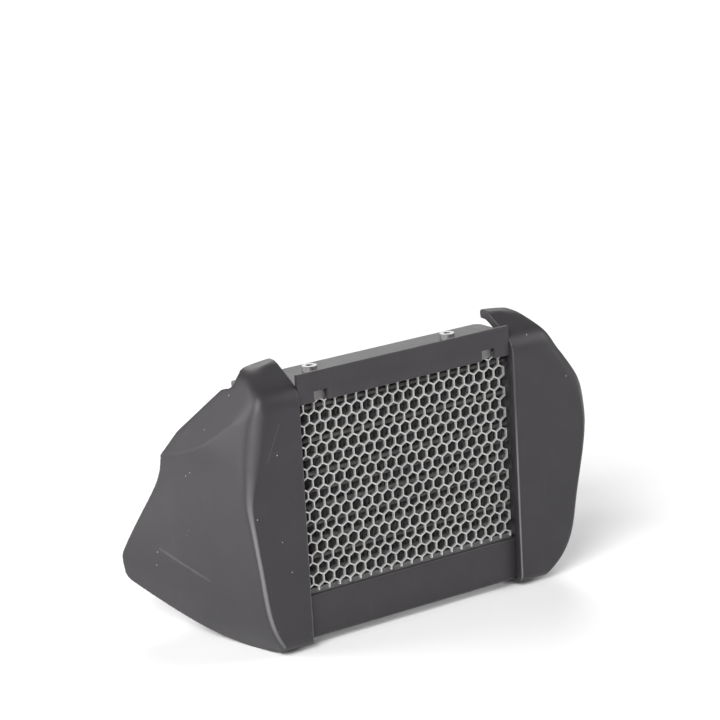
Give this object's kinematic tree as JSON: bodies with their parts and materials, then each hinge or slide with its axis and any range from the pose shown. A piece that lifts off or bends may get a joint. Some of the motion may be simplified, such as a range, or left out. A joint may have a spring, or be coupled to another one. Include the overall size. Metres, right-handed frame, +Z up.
{
  "type": "oil cooler guard",
  "caption": "Motorcycle oil cooler guard: moulded wing covers beside a honeycomb stone guard, with bars above and below, carried by the finned cooler core and its frame brackets.",
  "frame": {"origin": "midway between the two frame bolt sleeves, on their rear ends", "axes": "+X to the right seen from the front, along the line of the frame bolts; +Y to the back, along the frame bolts; +Z up"},
  "size_m": [0.2503, 0.106, 0.1527],
  "materials": {
    "cover_plastic": "matte grained",
    "bar_plastic": "matte",
    "mesh_metal": "satin",
    "clip_steel": "blackened",
    "core_paint": "satin black",
    "port_metal": "machined",
    "bracket_paint": "satin black",
    "grommet_rubber": "matte",
    "fastener_steel": "zinc plated"
  },
  "bodies": {
    "root": {"left_cover": "cover_plastic", "right_cover": "cover_plastic", "lower_bar": "bar_plastic", "upper_bar": "bar_plastic", "honeycomb": "mesh_metal", "honeycomb_clips": "clip_steel", "core_tubes": "core_paint", "core_fins": "core_paint", "left_tank": "core_paint", "right_tank": "core_paint", "top_plate": "core_paint", "bottom_plate": "core_paint", "oil_ports": "port_metal", "left_bracket": "bracket_paint", "right_bracket": "bracket_paint", "frame_grommets": "grommet_rubber", "frame_sleeves": "fastener_steel", "cover_screws": "fastener_steel", "cover_washers": "fastener_steel", "tank_screws": "fastener_steel", "tank_washers": "fastener_steel", "bar_screws": "fastener_steel"}
  },
  "joints": []
}
